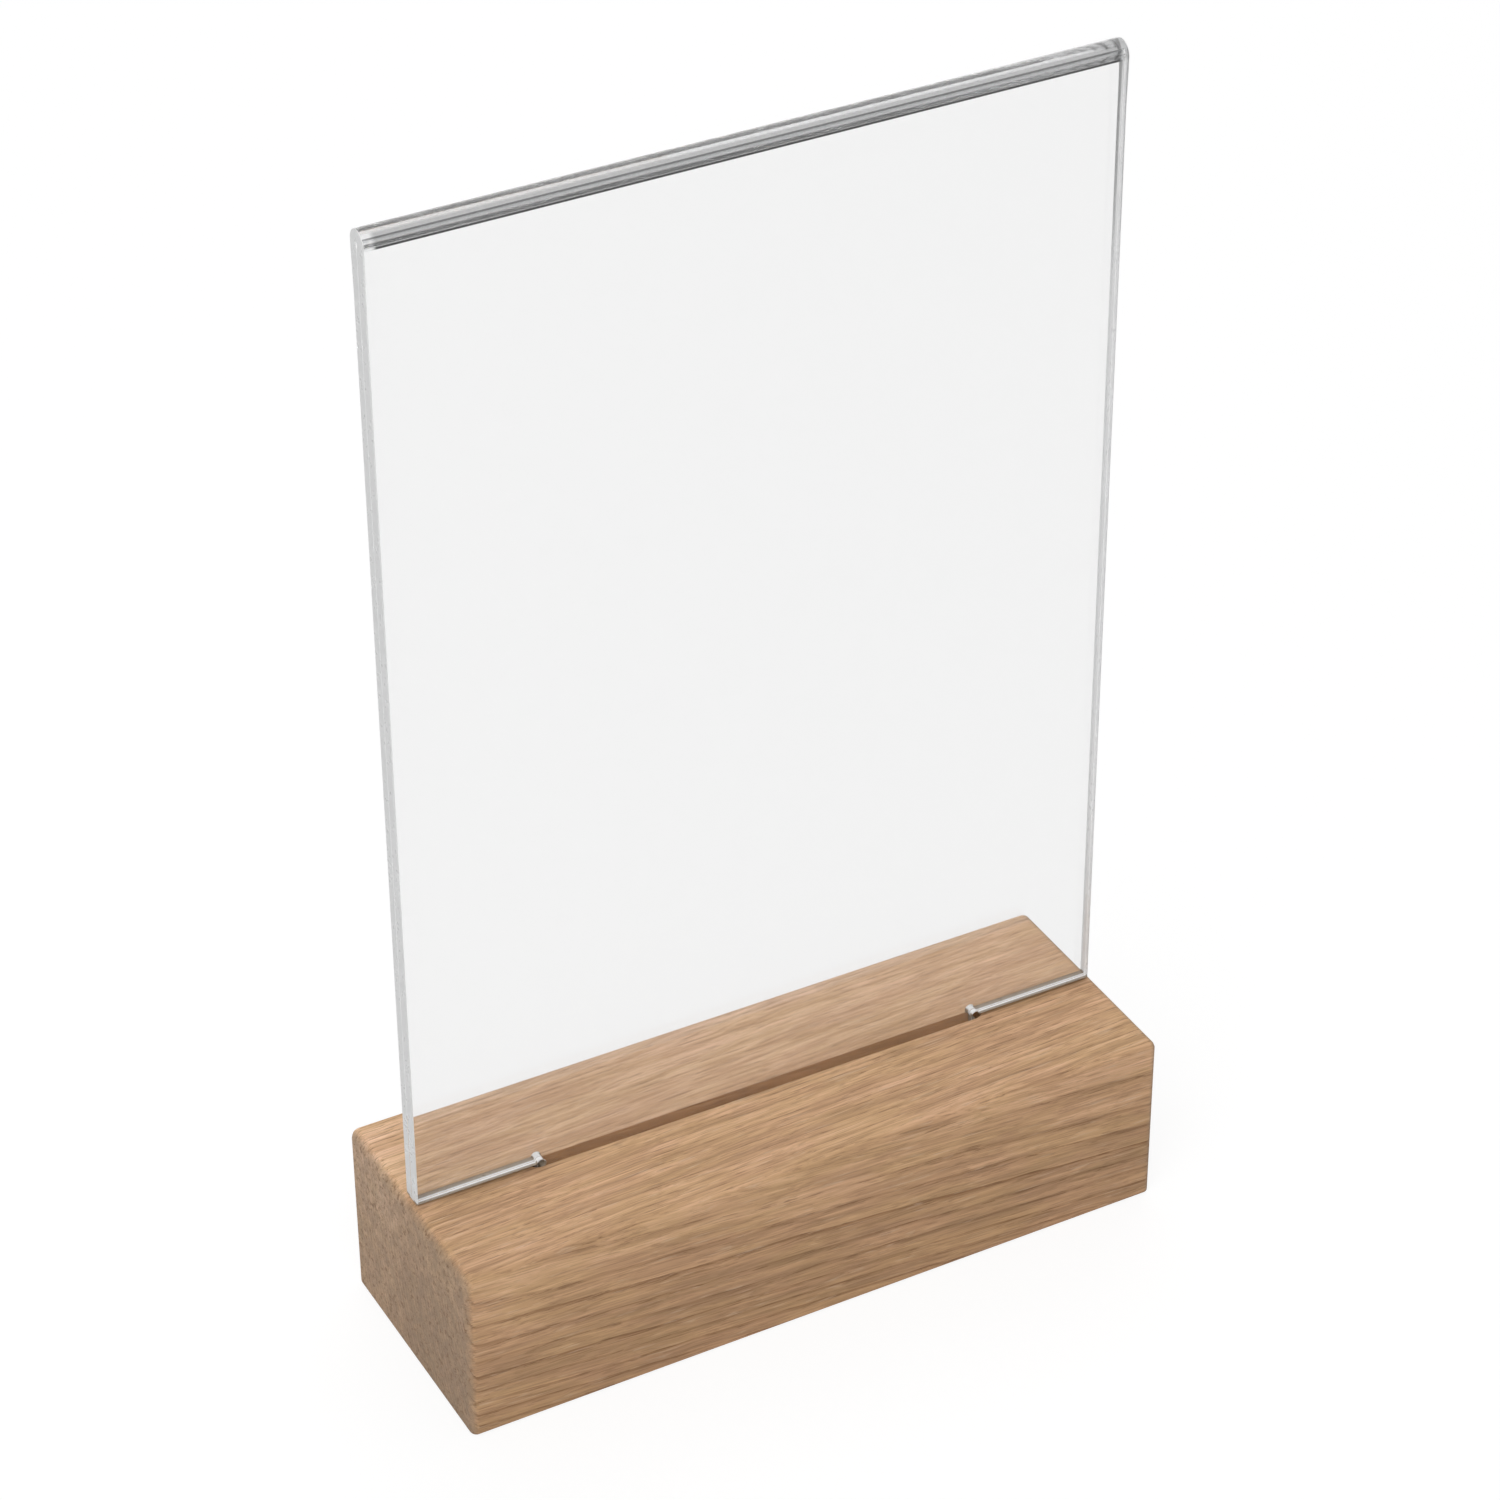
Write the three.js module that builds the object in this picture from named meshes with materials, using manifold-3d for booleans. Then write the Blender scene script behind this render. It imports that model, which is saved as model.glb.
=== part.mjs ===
// Table sign holder: an oak block with a routed slot, and a clear sleeve folded from one acrylic sheet.
// Millimetres, +Z up, +X along the block. The origin is the middle of the block's underside.

import * as THREE from 'three';
import { RoundedBoxGeometry } from 'three/addons/geometries/RoundedBoxGeometry.js';
import { mergeVertices } from 'three/addons/utils/BufferGeometryUtils.js';
import Module from 'manifold-3d';

// Card that the sleeve is made for, an A6 sheet standing upright
const CARD_WIDTH = 105;
const CARD_HEIGHT = 148;
const CARD_SIDE_MARGIN = 1.5;
const CARD_TOP_MARGIN = 0.5;

// Acrylic sheet, bent right over at the top so that its two leaves hold the card between them
const LEAF_THICKNESS = 1.65;
const CARD_GAP = 0.2; // between the leaves where the card stands
const FOLD_GAP = 0.6; // across the inside of the bend
const FOLD_EASE = 8; // height below the bend over which the leaves close up

// Foot of the sleeve: a shoulder at each side stands on the block, the tab between them enters the slot
const SHOULDER_WIDTH = 19;
const RELIEF_RADIUS = 0.9; // round cut-out in the inside corner of tab and shoulder
const SEAT_GAP = 0.2; // air under the shoulders

// Oak block
const BLOCK_OVERHANG = 1; // block beyond the sleeve at each end
const BLOCK_DEPTH = 38;
const BLOCK_HEIGHT = 28;
const EDGE_EASE = 1.4; // every edge is sanded round

// Slot routed in the block's top
const SLOT_FLOOR = 13; // wood left under the slot
const SLOT_SIDE_CLEARANCE = 0.15;
const SLOT_END_CLEARANCE = 0.3;
const TAB_FLOOR_GAP = 1;

// Colours and finishes
const OAK = { color: 0xbc9b7a, roughness: 0.62, metalness: 0 };
const CLEAR_ACRYLIC = { color: 0xf2f5f5, roughness: 0.04, metalness: 0, transparent: true, opacity: 0.3 };

// Fineness of the round shapes, and how far a cutter reaches past what it cuts
const EDGE_SEGMENTS = 4;
const CURVE_SEGMENTS = 16;
const CUT_PAST = 1;

// Sizes that follow from the ones above
const SLEEVE_WIDTH = CARD_WIDTH + 2 * CARD_SIDE_MARGIN;
const SLEEVE_HEIGHT = CARD_HEIGHT + CARD_TOP_MARGIN + LEAF_THICKNESS;
const TAB_WIDTH = SLEEVE_WIDTH - 2 * SHOULDER_WIDTH;
const TAB_THICKNESS = CARD_GAP + 2 * LEAF_THICKNESS;
const SLOT_DEPTH = BLOCK_HEIGHT - SLOT_FLOOR;
const TAB_DEPTH = SLOT_DEPTH + SEAT_GAP - TAB_FLOOR_GAP;
const BLOCK_LENGTH = SLEEVE_WIDTH + 2 * BLOCK_OVERHANG;

const wasm = await Module();
wasm.setup();

// A closed geometry as a solid that can be joined and cut
function toSolid(geometry) {
  geometry.deleteAttribute('normal');
  geometry.deleteAttribute('uv');
  const welded = mergeVertices(geometry);
  const vertProperties = new Float32Array(welded.attributes.position.array);
  const triVerts = new Uint32Array(welded.index.array);
  return new wasm.Manifold(new wasm.Mesh({ numProp: 3, vertProperties, triVerts }));
}

function toGeometry(solid) {
  const { vertProperties, triVerts } = solid.getMesh();
  const geometry = new THREE.BufferGeometry();
  geometry.setAttribute('position', new THREE.BufferAttribute(vertProperties, 3));
  geometry.setIndex(new THREE.BufferAttribute(triVerts, 1));
  geometry.computeVertexNormals();
  return geometry;
}

function extrude(shape, depth) {
  return new THREE.ExtrudeGeometry(shape, { depth, bevelEnabled: false, curveSegments: CURVE_SEGMENTS });
}

// Turns an extrusion so that its drawing lies in the plane of two axes, centred on the third
function standUp(geometry, across, upward, depth) {
  const along = new THREE.Vector3().crossVectors(across, upward);
  geometry.translate(0, 0, -depth / 2);
  geometry.applyMatrix4(new THREE.Matrix4().makeBasis(across, upward, along));
  return geometry;
}

// Plan of the slot: as wide as the tab and its clearance, with the round ends that a router bit leaves.
// The tab's square corners reach into the round ends and keep the end clearance there.
function slotPlan() {
  const bitRadius = TAB_THICKNESS / 2 + SLOT_SIDE_CLEARANCE;
  const cornerReach = Math.sqrt(bitRadius ** 2 - (TAB_THICKNESS / 2) ** 2);
  const endCentre = TAB_WIDTH / 2 + SLOT_END_CLEARANCE - cornerReach;
  const plan = new THREE.Shape();
  plan.absarc(endCentre, 0, bitRadius, -Math.PI / 2, Math.PI / 2, false);
  plan.absarc(-endCentre, 0, bitRadius, Math.PI / 2, 1.5 * Math.PI, false);
  plan.closePath();
  return plan;
}

// Block with sanded edges, standing on z = 0, and the slot cut down from its top
function oakBlock() {
  const blank = new RoundedBoxGeometry(BLOCK_LENGTH, BLOCK_DEPTH, BLOCK_HEIGHT, EDGE_SEGMENTS, EDGE_EASE);
  blank.translate(0, 0, BLOCK_HEIGHT / 2);
  const cutter = extrude(slotPlan(), SLOT_DEPTH + CUT_PAST);
  cutter.translate(0, 0, SLOT_FLOOR);
  return toGeometry(toSolid(blank).subtract(toSolid(cutter)));
}

// Section of the bent sheet, drawn with y across the leaves and z up from the shoulders.
// Each side of the sheet is an arc over the top that eases into two straight leaves.
function foldedSection() {
  const foldCentre = SLEEVE_HEIGHT - FOLD_GAP / 2 - LEAF_THICKNESS;
  const straightTop = foldCentre - FOLD_EASE;
  const middle = foldCentre - FOLD_EASE / 2;
  const bottom = -TAB_DEPTH - CUT_PAST;
  const innerFold = FOLD_GAP / 2;
  const innerLeaf = CARD_GAP / 2;
  const outerFold = innerFold + LEAF_THICKNESS;
  const outerLeaf = innerLeaf + LEAF_THICKNESS;
  const section = new THREE.Shape();
  section.moveTo(-outerLeaf, bottom);
  section.lineTo(-outerLeaf, straightTop);
  section.bezierCurveTo(-outerLeaf, middle, -outerFold, middle, -outerFold, foldCentre);
  section.absarc(0, foldCentre, outerFold, Math.PI, 0, true);
  section.bezierCurveTo(outerFold, middle, outerLeaf, middle, outerLeaf, straightTop);
  section.lineTo(outerLeaf, bottom);
  section.lineTo(innerLeaf, bottom);
  section.lineTo(innerLeaf, straightTop);
  section.bezierCurveTo(innerLeaf, middle, innerFold, middle, innerFold, foldCentre);
  section.absarc(0, foldCentre, innerFold, 0, Math.PI, false);
  section.bezierCurveTo(-innerFold, middle, -innerLeaf, middle, -innerLeaf, straightTop);
  section.lineTo(-innerLeaf, bottom);
  section.closePath();
  return section;
}

// Front outline of the sleeve, drawn with x across and z up from the shoulders
function sleeveOutline() {
  const side = SLEEVE_WIDTH / 2;
  const tabSide = TAB_WIDTH / 2;
  const top = SLEEVE_HEIGHT + CUT_PAST;
  const outline = new THREE.Shape();
  outline.moveTo(-tabSide, -TAB_DEPTH);
  outline.lineTo(tabSide, -TAB_DEPTH);
  outline.absarc(tabSide, 0, RELIEF_RADIUS, -Math.PI / 2, 0, true);
  outline.lineTo(side, 0);
  outline.lineTo(side, top);
  outline.lineTo(-side, top);
  outline.lineTo(-side, 0);
  outline.absarc(-tabSide, 0, RELIEF_RADIUS, Math.PI, 1.5 * Math.PI, true);
  outline.closePath();
  return outline;
}

// The bent sheet runs past both sides, and the outline trims it to shoulders, tab and straight edges
function acrylicSleeve() {
  const xAxis = new THREE.Vector3(1, 0, 0);
  const yAxis = new THREE.Vector3(0, 1, 0);
  const zAxis = new THREE.Vector3(0, 0, 1);
  const sheetLength = SLEEVE_WIDTH + 2 * CUT_PAST;
  const trimDepth = FOLD_GAP + 2 * LEAF_THICKNESS + 2 * CUT_PAST;
  const sheet = standUp(extrude(foldedSection(), sheetLength), yAxis, zAxis, sheetLength);
  const trim = standUp(extrude(sleeveOutline(), trimDepth), xAxis, zAxis, trimDepth);
  return toGeometry(toSolid(sheet).intersect(toSolid(trim)));
}

function piece(name, geometry, finish) {
  const mesh = new THREE.Mesh(geometry, new THREE.MeshStandardMaterial(finish));
  mesh.name = name;
  return mesh;
}

const signHolder = new THREE.Group();
signHolder.add(piece('oak_block', oakBlock(), OAK));

const sleeve = piece('acrylic_sleeve', acrylicSleeve(), CLEAR_ACRYLIC);
sleeve.position.z = BLOCK_HEIGHT + SEAT_GAP;
signHolder.add(sleeve);

export default signHolder;
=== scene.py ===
# %% [markdown]
# # A table sign holder in clear acrylic and oak
# One acrylic sheet is bent right over at the top, so that its two leaves hold a card between them.
# Its tab stands in a slot that was routed in a solid oak block.
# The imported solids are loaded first, because they say where everything is and how large it is.
# The shapes are in metres, and `MM` lets their sizes read as they would on a drawing.
# Points nearer than `NEAR` are taken as one place, and `WELD` is a finer limit of the same kind.

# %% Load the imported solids
import math

import bmesh
import bpy
from mathutils import Matrix, Vector


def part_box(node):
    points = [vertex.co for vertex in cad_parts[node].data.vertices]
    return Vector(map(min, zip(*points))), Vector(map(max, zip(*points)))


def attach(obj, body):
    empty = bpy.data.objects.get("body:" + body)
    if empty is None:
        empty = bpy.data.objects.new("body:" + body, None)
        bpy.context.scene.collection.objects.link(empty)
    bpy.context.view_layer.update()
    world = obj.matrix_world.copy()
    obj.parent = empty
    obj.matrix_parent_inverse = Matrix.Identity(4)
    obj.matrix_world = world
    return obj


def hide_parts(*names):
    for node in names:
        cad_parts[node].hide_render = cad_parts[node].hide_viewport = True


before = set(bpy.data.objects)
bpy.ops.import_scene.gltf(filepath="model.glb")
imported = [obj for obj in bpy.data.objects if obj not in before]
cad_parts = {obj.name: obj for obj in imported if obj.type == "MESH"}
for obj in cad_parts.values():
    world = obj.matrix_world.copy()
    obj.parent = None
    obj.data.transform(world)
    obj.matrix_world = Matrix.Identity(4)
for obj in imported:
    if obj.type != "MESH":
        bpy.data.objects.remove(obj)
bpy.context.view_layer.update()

MM = 0.001
NEAR = 1e-6
WELD = 1e-7

block_low, block_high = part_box("oak_block")
sleeve_low, sleeve_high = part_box("acrylic_sleeve")
print("block", [round(v / MM, 2) for v in block_high - block_low], "mm")
print("sleeve", [round(v / MM, 2) for v in sleeve_high - sleeve_low], "mm")


# %% [markdown]
# ## From bmesh to a finished piece
# Each piece is shaped in a bmesh, Blender's editable mesh, and then written to a mesh object at the origin.
# Smooth shading is right for the rounds, but a crisp arris has to stay crisp, so edges past an angle are
# marked sharp. Where a later step builds on what a modifier makes, the modifier is baked into the mesh.

# %% Helpers that finish a piece
CREASE = 50


def finish_piece(shape, name, crease=CREASE):
    mesh = bpy.data.meshes.new(name)
    shape.to_mesh(mesh)
    shape.free()
    mesh.shade_smooth()
    mesh.set_sharp_from_angle(angle=math.radians(crease))
    piece = bpy.data.objects.new(name, mesh)
    bpy.context.scene.collection.objects.link(piece)
    return piece


def bake_modifiers(piece):
    """Replaces the piece's mesh by what its modifiers make of it."""
    bpy.context.view_layer.update()
    done = piece.evaluated_get(bpy.context.evaluated_depsgraph_get())
    mesh = bpy.data.meshes.new_from_object(done)
    piece.modifiers.clear()
    piece.data = mesh


print("edges past", CREASE, "degrees stay sharp")


# %% [markdown]
# ## The oak block
# The block is sawn from a thick board and its edges are broken with sandpaper, each a little differently,
# because that is done by hand: the upper edges at the ends are rounder than the long one in front, and the
# foot, which nobody touches, is left the sharpest.
# A cube is scaled to the block, every edge carries its own bevel weight, and one Bevel modifier rounds
# them all, so that the corners where three different rounds meet are solved together.

# %% Block blank with sanded edges
WIDEST_ROUND = 1.5 * MM
USUAL_ROUND = 1.25 * MM
FRONT_TOP_ROUND = 1.05 * MM
RIGHT_FRONT_ROUND = 0.75 * MM
FOOT_ROUND = 0.6 * MM
ROUND_SEGMENTS = 6

blank = bmesh.new()
bmesh.ops.create_cube(blank, size=1.0)
bmesh.ops.scale(blank, vec=block_high - block_low, verts=blank.verts)
bmesh.ops.translate(blank, vec=(block_low + block_high) / 2, verts=blank.verts)


def sanded_round(edge):
    """How far this edge of the block was rounded, from where it lies."""
    middle = (edge.verts[0].co + edge.verts[1].co) / 2
    at_front = abs(middle.y - block_low.y) < NEAR
    at_top = abs(middle.z - block_high.z) < NEAR
    if abs(middle.z - block_low.z) < NEAR:
        return FOOT_ROUND
    if at_front and at_top:
        return FRONT_TOP_ROUND
    if at_front and abs(middle.x - block_high.x) < NEAR:
        return RIGHT_FRONT_ROUND
    if at_top and abs(middle.x - block_low.x) < NEAR:
        return WIDEST_ROUND
    return USUAL_ROUND


round_weight = blank.edges.layers.float.new("bevel_weight_edge")
for edge in blank.edges:
    edge[round_weight] = sanded_round(edge) / WIDEST_ROUND
oak_block = finish_piece(blank, "oak_block_sanded")
sanding = oak_block.modifiers.new("sanded edges", "BEVEL")
sanding.limit_method = "WEIGHT"
sanding.width = WIDEST_ROUND
sanding.segments = ROUND_SEGMENTS
sanding.profile = 0.5
bake_modifiers(oak_block)
print("block with sanded edges:", len(oak_block.data.polygons), "faces")


# %% [markdown]
# ## The slot
# A router bit cuts the slot down from the top, so the slot is as wide as the bit and its ends are half round.
# The cutter is a circle whose right half is pulled away from its left half, which gives the outline of the
# bit's path, and the outline is extruded. The circle is turned by half a step first, so that no point lies
# on the line between the halves. A Boolean modifier takes the cutter out of the block.

# %% Lay out the slot
LEAF = 1.72 * MM
CARD_GAP = 0.06 * MM
SIDE_CLEARANCE = 0.06 * MM
END_CLEARANCE = 0.3 * MM
SHOULDER = 19.0 * MM

tab_half = sleeve_high.x - SHOULDER
tab_thickness = CARD_GAP + 2 * LEAF
bit_radius = tab_thickness / 2 + SIDE_CLEARANCE
corner_reach = math.sqrt(bit_radius ** 2 - (tab_thickness / 2) ** 2)
slot_end = tab_half + END_CLEARANCE - corner_reach
print("tab", round(2 * tab_half / MM, 2), "mm wide,", round(tab_thickness / MM, 2), "mm thick")

# %% Cut the slot
SLOT_FLOOR = 13.0 * MM
CUT_PAST = 1.0 * MM
BIT_STEPS = 46

half_step = math.pi / BIT_STEPS
point_radius = bit_radius / math.cos(half_step)
path = bmesh.new()
bmesh.ops.create_circle(path, cap_ends=True, radius=point_radius, segments=BIT_STEPS)
turned = Matrix.Rotation(half_step, 3, "Z")
bmesh.ops.rotate(path, cent=(0, 0, 0), matrix=turned, verts=path.verts)
right_half = [v for v in path.verts if v.co.x > 0]
left_half = [v for v in path.verts if v.co.x < 0]
bmesh.ops.translate(path, vec=(slot_end, 0, SLOT_FLOOR), verts=right_half)
bmesh.ops.translate(path, vec=(-slot_end, 0, SLOT_FLOOR), verts=left_half)
walls = bmesh.ops.extrude_face_region(path, geom=path.faces[:])
top_ring = [v for v in walls["geom"] if isinstance(v, bmesh.types.BMVert)]
bmesh.ops.translate(path, vec=(0, 0, block_high.z - SLOT_FLOOR + CUT_PAST), verts=top_ring)
bmesh.ops.recalc_face_normals(path, faces=path.faces)
bit_path = finish_piece(path, "bit_path")

routing = oak_block.modifiers.new("routed slot", "BOOLEAN")
routing.operation = "DIFFERENCE"
routing.solver = "EXACT"
routing.object = bit_path
bake_modifiers(oak_block)
bpy.data.objects.remove(bit_path)
slot_size = [2 * (slot_end + point_radius), 2 * bit_radius, block_high.z - SLOT_FLOOR]
print("slot", [round(v / MM, 2) for v in slot_size], "mm long, wide and deep")


# %% [markdown]
# ## Breaking the slot's rim
# A routed rim is sharp enough to splinter, so one light pass of sandpaper takes a hair's breadth off it.
# The rim is found by what it joins: a face that looks up and a wall of the slot.
# Weighted normals then keep the block's broad flat faces flat beside their narrow rounds.

# %% Ease the rim of the slot
RIM_EASE = 0.08 * MM
RIM_SEGMENTS = 2
RIM_TURN = 0.9
FLAT_WEIGHT = 100

cut = bmesh.new()
cut.from_mesh(oak_block.data)
bmesh.ops.remove_doubles(cut, verts=cut.verts, dist=WELD)


def on_rim(vert):
    return abs(vert.co.z - block_high.z) < NEAR and abs(vert.co.y) < bit_radius + NEAR


def turns_down(edge):
    first, second = edge.link_faces
    return abs(first.normal.z - second.normal.z) > RIM_TURN


rim = [e for e in cut.edges if all(on_rim(v) for v in e.verts) and turns_down(e)]
bmesh.ops.bevel(
    cut,
    geom=rim,
    offset=RIM_EASE,
    affect="EDGES",
    segments=RIM_SEGMENTS,
    profile=0.5,
    material=-1,
    clamp_overlap=True,
)
oak_mesh = oak_block.data
bpy.data.objects.remove(oak_block)
bpy.data.meshes.remove(oak_mesh)
oak_block = finish_piece(cut, "oak_block_sanded")
flatten = oak_block.modifiers.new("flat faces stay flat", "WEIGHTED_NORMAL")
flatten.keep_sharp = True
flatten.weight = FLAT_WEIGHT
print("rim edges eased:", len(rim), " block faces:", len(oak_block.data.polygons))


# %% [markdown]
# ## The flat blank of the sleeve
# The sleeve starts as a flat sheet that is cut to outline and then bent over a hot wire.
# The model is made the same way. A quarter of the blank is drawn flat: half of the front leaf, with its half
# of the tab, the shoulder, and the round cut-out in the corner between them, which stops cracks.
# That cut-out is a single vertex spun through three quarters of a turn.

# %% Draw a quarter of the blank
SEAT_GAP = 0.45 * MM
RELIEF_RADIUS = 0.6 * MM
RELIEF_TURN = 1.5 * math.pi
RELIEF_STEPS = 18
FOLD_GAP = 0.46 * MM
FOLD_EASE = 8.0 * MM

shoulder_z = block_high.z + SEAT_GAP
outer_leaf = CARD_GAP / 2 + LEAF
outer_fold = FOLD_GAP / 2 + LEAF
fold_centre = sleeve_high.z - outer_fold
straight_top = fold_centre - FOLD_EASE
crown = fold_centre + outer_fold * math.pi / 2
sleeve_side = sleeve_high.x

sheet = bmesh.new()
relief_start = sheet.verts.new((tab_half, 0, shoulder_z - RELIEF_RADIUS))
bmesh.ops.spin(
    sheet,
    geom=[relief_start],
    cent=(tab_half, 0, shoulder_z),
    axis=(0, 1, 0),
    angle=RELIEF_TURN,
    steps=RELIEF_STEPS,
)
relief = list(sheet.verts)
relief_ends = [[round(c / MM, 2) for c in v.co] for v in (relief[0], relief[-1])]
print("cut-out from", relief_ends[0], "to", relief_ends[1])

# %% Close the outline and fill it
outline = [
    (sleeve_side, shoulder_z),
    (sleeve_side, crown),
    (0, crown),
    (0, sleeve_low.z),
    (tab_half, sleeve_low.z),
]
around = relief + [sheet.verts.new((x, 0, z)) for x, z in outline]
sheet.faces.new(around)
print("quarter blank:", len(around), "points,", round((crown - sleeve_low.z) / MM, 2), "mm long")


# %% Give the blank its thickness
def lies_at(face, axis, place):
    return all(abs(v.co[axis] - place) < WELD for v in face.verts)


slab = bmesh.ops.extrude_face_region(sheet, geom=sheet.faces[:])
inside = [v for v in slab["geom"] if isinstance(v, bmesh.types.BMVert)]
bmesh.ops.translate(sheet, vec=(0, LEAF, 0), verts=inside)
open_ends = [f for f in sheet.faces if lies_at(f, 0, 0.0) or lies_at(f, 2, crown)]
bmesh.ops.delete(sheet, geom=open_ends, context="FACES")
print("thick quarter:", len(sheet.faces), "faces, open where the other quarters join on")


# %% [markdown]
# ## Bending the sheet
# Bending needs crease lines to bend along, so planes cut the flat sheet across, closely round the fold and
# more widely in the ease below it. Then every point moves to where the bend carries it: up to the ease it
# stays in the leaf, in the ease it swings outwards, and past it it goes round the fold. A sheet this thick
# can't be folded flat on itself, so a small teardrop stays open inside the bend. The soft sheet is squeezed
# there and swells inwards, so its inside swings out much later than its outside.

# %% Cut crease lines and bend
FOLD_STEPS = 24
EASE_STEPS = 12
DROP_STEPS = 8
DROP = 0.8 * MM
SUPPORT = 2.0 * MM

creases = [straight_top - SUPPORT]
creases += [straight_top + FOLD_EASE * i / EASE_STEPS for i in range(EASE_STEPS + 1)]
creases += [fold_centre - DROP * i / DROP_STEPS for i in range(1, DROP_STEPS)]
creases += [fold_centre + (crown - fold_centre) * i / FOLD_STEPS for i in range(1, FOLD_STEPS)]
for height in creases:
    whole = sheet.verts[:] + sheet.edges[:] + sheet.faces[:]
    bmesh.ops.bisect_plane(sheet, geom=whole, dist=WELD, plane_co=(0, 0, height), plane_no=(0, 0, 1))


def bend(point):
    """Where a point of the flat blank goes, which lies point.y below the outside of the sheet."""
    half_leaf = outer_leaf - point.y
    half_fold = outer_fold - point.y
    if point.z <= straight_top:
        return Vector((point.x, -half_leaf, point.z))
    if point.z <= fold_centre:
        reach = FOLD_EASE if point.y < LEAF / 2 else DROP
        share = max(0.0, 1 - (fold_centre - point.z) / reach)
        swing = (outer_fold - outer_leaf) * share * share * (3 - 2 * share)
        return Vector((point.x, -half_leaf - swing, point.z))
    turn = (point.z - fold_centre) / outer_fold
    return Vector((point.x, -half_fold * math.cos(turn), fold_centre + half_fold * math.sin(turn)))


for vert in sheet.verts:
    vert.co = bend(vert.co)
bent_top = max(v.co.z for v in sheet.verts)
print("bent quarter:", len(sheet.faces), "faces, top at", round(bent_top / MM, 2), "mm")


# %% [markdown]
# ## Both halves and both leaves
# Two mirrors complete the sheet, first left to right and then front to back over the crown.
# Mirrors turn faces over, so doubles are merged and the normals recalculated. The seam down the middle of the
# flat leaves is dissolved again, because each leaf is one flat face.

# %% Mirror the quarter
FLAT_ANGLE = 1e-4


def in_seam(edge):
    return all(abs(v.co.x) < WELD for v in edge.verts) and edge.calc_face_angle(1.0) < FLAT_ANGLE


for axis in ("X", "Y"):
    whole = sheet.verts[:] + sheet.edges[:] + sheet.faces[:]
    bmesh.ops.mirror(sheet, geom=whole, merge_dist=NEAR, axis=axis)
bmesh.ops.remove_doubles(sheet, verts=sheet.verts, dist=NEAR)
bmesh.ops.recalc_face_normals(sheet, faces=sheet.faces)
bmesh.ops.dissolve_edges(sheet, edges=[e for e in sheet.edges if in_seam(e)], use_verts=True)
lowest = [min(v.co[i] for v in sheet.verts) / MM for i in range(3)]
highest = [max(v.co[i] for v in sheet.verts) / MM for i in range(3)]
volume = sheet.calc_volume(signed=True) / MM ** 3
open_edges = [e for e in sheet.edges if not e.is_manifold]
print("sleeve from", [round(v, 3) for v in lowest], "to", [round(v, 3) for v in highest])
print("open edges:", len(open_edges), " volume:", round(volume), "mm3")


# %% [markdown]
# ## The cut edges
# The saw leaves the sheet's faces polished and its edges plain, and a scraper takes the sharpness off them.
# The edge faces are told from the sheet's faces by where they look: along the sheet and not out of it.
# They get the second material slot, and every sharp edge on the outside gets a very small bevel that catches
# the light. The edges that face the gap between the leaves stay as the saw left them.

# %% Find the cut edges
FACE_SLOT, EDGE_SLOT = 0, 1
LOOKS_OUT = 0.02
LOOKS_DOWN = -0.5


def is_cut(face):
    looks_along = abs(face.normal.y) < LOOKS_OUT
    return looks_along and (abs(face.normal.x) > LOOKS_OUT or face.normal.z < LOOKS_DOWN)


sheet.normal_update()
for face in sheet.faces:
    face.material_index = EDGE_SLOT if is_cut(face) else FACE_SLOT
print("cut faces:", len([f for f in sheet.faces if f.material_index == EDGE_SLOT]))

# %% Break the cut edges
ARRIS = 0.16 * MM
ARRIS_SEGMENTS = 2
ARRIS_ANGLE = math.radians(50)
SLEEVE_CREASE = 20


def is_outside(vert):
    from_axis = math.hypot(vert.co.y, max(0.0, vert.co.z - fold_centre))
    return from_axis > (outer_leaf if vert.co.z < straight_top else LEAF) - NEAR


def is_arris(edge):
    return edge.calc_face_angle(0.0) > ARRIS_ANGLE and all(is_outside(v) for v in edge.verts)


arrises = [e for e in sheet.edges if is_arris(e)]
broken = bmesh.ops.bevel(
    sheet,
    geom=arrises,
    offset=ARRIS,
    affect="EDGES",
    segments=ARRIS_SEGMENTS,
    profile=0.5,
    material=-1,
)
for face in broken["faces"]:
    face.material_index = EDGE_SLOT
acrylic_sleeve = finish_piece(sheet, "acrylic_sleeve_folded", SLEEVE_CREASE)
print("sleeve faces:", len(acrylic_sleeve.data.polygons), " edges broken:", len(arrises))


# %% [markdown]
# ## Small helpers for materials
# A material is a tree of nodes. Writing each node out takes four lines, so these helpers make a node, set
# its values and link its sockets in one. A socket that is handed over is linked, and a plain value is set.
# A ramp takes its limits as from, to, the value at the first and the value at the second.

# %% Node helpers
def feed(tree, socket, value):
    if isinstance(value, bpy.types.NodeSocket):
        tree.links.new(value, socket)
    else:
        socket.default_value = value


def put(tree, kind, settings=None, **sockets):
    node = tree.nodes.new("ShaderNode" + kind)
    for name, value in (settings or {}).items():
        setattr(node, name, value)
    for name, value in sockets.items():
        feed(tree, node.inputs[name.replace("_", " ")], value)
    return node


def reckon(tree, operation, *values, kind="Math"):
    node = put(tree, kind, {"operation": operation})
    for socket, value in zip(node.inputs, values):
        feed(tree, socket, value)
    return node.outputs["Value" if kind == "Math" or operation == "LENGTH" else "Vector"]


def across(tree, operation, *values):
    return reckon(tree, operation, *values, kind="VectorMath")


def scaled(tree, vector, factor):
    node = put(tree, "VectorMath", {"operation": "SCALE"}, Scale=factor)
    feed(tree, node.inputs[0], vector)
    return node.outputs["Vector"]


def product(tree, first, *others):
    for value in others:
        first = reckon(tree, "MULTIPLY", first, value)
    return first


def ramp(tree, value, low, high, to_low=0.0, to_high=1.0):
    node = put(tree, "MapRange", {"interpolation_type": "SMOOTHSTEP", "clamp": True}, Value=value)
    for name, number in (("From Min", low), ("From Max", high), ("To Min", to_low), ("To Max", to_high)):
        feed(tree, node.inputs[name], number)
    return node.outputs["Result"]


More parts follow.
